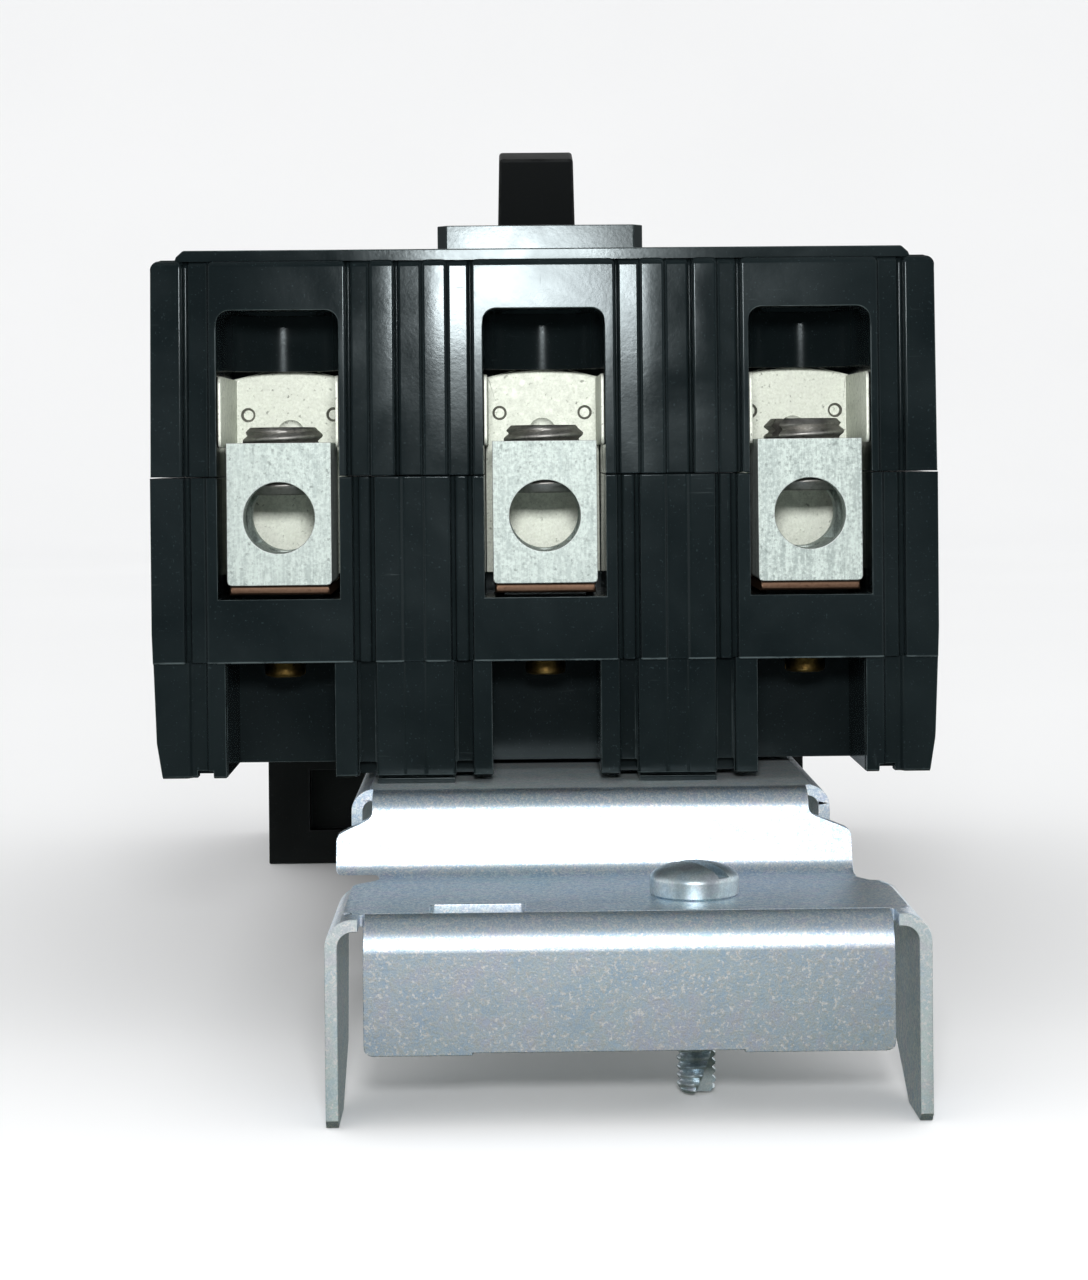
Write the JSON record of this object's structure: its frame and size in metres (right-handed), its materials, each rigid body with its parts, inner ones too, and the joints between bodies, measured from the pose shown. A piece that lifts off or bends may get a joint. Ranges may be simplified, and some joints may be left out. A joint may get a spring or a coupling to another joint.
{
  "type": "molded case circuit breaker",
  "caption": "Black three-pole plug-on molded case circuit breaker with toggle handle, wire lugs in open pockets, a zinc-plated screw-down bracket and a line-end jaw housing.",
  "frame": {"origin": "middle of the footprint on the surface that the bracket legs and the jaw housing stand on", "axes": "+Y from the load end with the lugs to the line end with the jaws, +Z from the base up to the handle, +X across the poles, to the right seen from the load end"},
  "size_m": [0.1048, 0.2358, 0.1273],
  "materials": {
    "phenolic": "black compression-molded phenolic, satin with fine speckle and pale worn edges",
    "housing_phenolic": "black molded phenolic, satin",
    "handle_plastic": "black molded plastic, fine matt",
    "lug_aluminium": "sawn and tumbled, vertical saw lines",
    "barrier_metal": "dull tin-plated sheet, warm grey speckle",
    "copper": "bare copper, browned",
    "brass": "turned brass, dull",
    "zinc_sheet": "bright bluish zinc plate with fine spangle",
    "zinc_screw": "bright zinc plate",
    "set_screw_steel": "dull plated steel, worn crests",
    "mechanism_steel": "plain plated steel",
    "button_red": "red molded plastic",
    "insulating_fibre": "brown laminate"
  },
  "bodies": {
    "case": {"base": "phenolic", "cover": "phenolic", "jaw_housing": "housing_phenolic", "cover_screw_1": "zinc_screw", "cover_screw_2": "zinc_screw", "cover_screw_3": "zinc_screw", "cover_screw_4": "zinc_screw", "mounting_bracket": "zinc_sheet", "bracket_screw_1": "zinc_screw", "bracket_screw_2": "zinc_screw", "mechanism_frame": "mechanism_steel", "trip_button_spring": "mechanism_steel", "toggle_spring": "mechanism_steel", "lug_1": "lug_aluminium", "lug_2": "lug_aluminium", "lug_3": "lug_aluminium", "terminal_screw_1": "brass", "terminal_screw_2": "brass", "terminal_screw_3": "brass", "load_strap_1": "copper", "load_strap_2": "copper", "load_strap_3": "copper", "barrier_plate_1": "barrier_metal", "barrier_plate_2": "barrier_metal", "barrier_plate_3": "barrier_metal", "bimetal_1": "mechanism_steel", "bimetal_2": "mechanism_steel", "bimetal_3": "mechanism_steel", "magnet_yoke_1": "mechanism_steel", "magnet_yoke_2": "mechanism_steel", "magnet_yoke_3": "mechanism_steel", "flex_braid_1": "copper", "flex_braid_2": "copper", "flex_braid_3": "copper", "line_strap_1": "copper", "line_strap_2": "copper", "line_strap_3": "copper", "line_jaw_1": "copper", "line_jaw_2": "copper", "line_jaw_3": "copper", "arc_chute_1": "insulating_fibre", "arc_chute_2": "insulating_fibre", "arc_chute_3": "insulating_fibre"},
    "toggle": {"handle": "handle_plastic", "handle_yoke": "mechanism_steel"},
    "shutter": {"handle_shutter": "handle_plastic"},
    "contacts": {"crossbar": "insulating_fibre", "contact_arm_1": "copper", "contact_arm_2": "copper", "contact_arm_3": "copper"},
    "lower_link": {"toggle_link_lower": "mechanism_steel"},
    "upper_link": {"toggle_link_upper": "mechanism_steel"},
    "trip_cradle": {"cradle": "mechanism_steel"},
    "trip_shaft": {"trip_bar": "insulating_fibre"},
    "trip_push": {"trip_button": "button_red"},
    "wire_clamp_1": {"lug_screw_1": "set_screw_steel"},
    "wire_clamp_2": {"lug_screw_2": "set_screw_steel"},
    "wire_clamp_3": {"lug_screw_3": "set_screw_steel"},
    "captive_screw": {"mounting_screw": "zinc_screw"}
  },
  "joints": [
    {"name": "handle_throw", "type": "hinge", "parent": "case", "child": "toggle", "pos_m": [0, 0.0059, 0.07], "axis": [-1, 0, 0], "range_deg": [0, 34], "deforming": ["toggle_spring"]},
    {"name": "shutter_slide", "type": "slide", "parent": "case", "child": "shutter", "axis": [0, 1, 0], "range_m": [0, 0.0188]},
    {"name": "crossbar_swing", "type": "hinge", "parent": "case", "child": "contacts", "pos_m": [0, -0.0121, 0.052], "axis": [-1, 0, 0], "range_deg": [0, 25.1], "deforming": ["flex_braid_1", "flex_braid_2", "flex_braid_3"]},
    {"name": "lower_link_turn", "type": "hinge", "parent": "contacts", "child": "lower_link", "pos_m": [0, -0.00703, 0.06287], "axis": [1, 0, 0], "range_deg": [0, 18.3]},
    {"name": "upper_link_turn", "type": "hinge", "parent": "trip_cradle", "child": "upper_link", "pos_m": [0, -0.0041, 0.086], "axis": [1, 0, 0], "range_deg": [0, 28.1]},
    {"name": "cradle_release", "type": "hinge", "parent": "case", "child": "trip_cradle", "pos_m": [0, 0.0199, 0.08], "axis": [-1, 0, 0], "range_deg": [0, 6.1]},
    {"name": "trip_bar_turn", "type": "hinge", "parent": "case", "child": "trip_shaft", "pos_m": [0, -0.0361, 0.088], "axis": [1, 0, 0], "range_deg": [0, 12.1]},
    {"name": "trip_button_press", "type": "slide", "parent": "case", "child": "trip_push", "axis": [0, 0, -1], "range_m": [0, 0.0017], "stiffness_N_per_m": 400, "springref_m": -0.002, "deforming": ["trip_button_spring"]},
    {"name": "lug_screw_1_travel", "type": "slide", "parent": "case", "child": "wire_clamp_1", "axis": [0, 0, 1], "range_m": [-0.006, 0.004]},
    {"name": "lug_screw_2_travel", "type": "slide", "parent": "case", "child": "wire_clamp_2", "axis": [0, 0, 1], "range_m": [-0.006, 0.004]},
    {"name": "lug_screw_3_travel", "type": "slide", "parent": "case", "child": "wire_clamp_3", "axis": [0, 0, 1], "range_m": [-0.006, 0.004]},
    {"name": "mounting_screw_turn", "type": "hinge", "parent": "case", "child": "captive_screw", "pos_m": [0.0176, -0.1031, 0.016], "axis": [0, 0, 1], "continuous": true}
  ],
  "couplings": [
    {"joint": "shutter_slide", "follows": "handle_throw", "m_per_rad": 0.03151},
    {"joint": "crossbar_swing", "follows": "handle_throw", "ratio": 0.7353},
    {"joint": "lower_link_turn", "follows": "handle_throw", "ratio": 0.5344},
    {"joint": "upper_link_turn", "follows": "handle_throw", "ratio": 0.8222},
    {"joint": "trip_bar_turn", "follows": "trip_button_press", "rad_per_m": 123.2},
    {"joint": "cradle_release", "follows": "trip_button_press", "rad_per_m": 61.6}
  ]
}
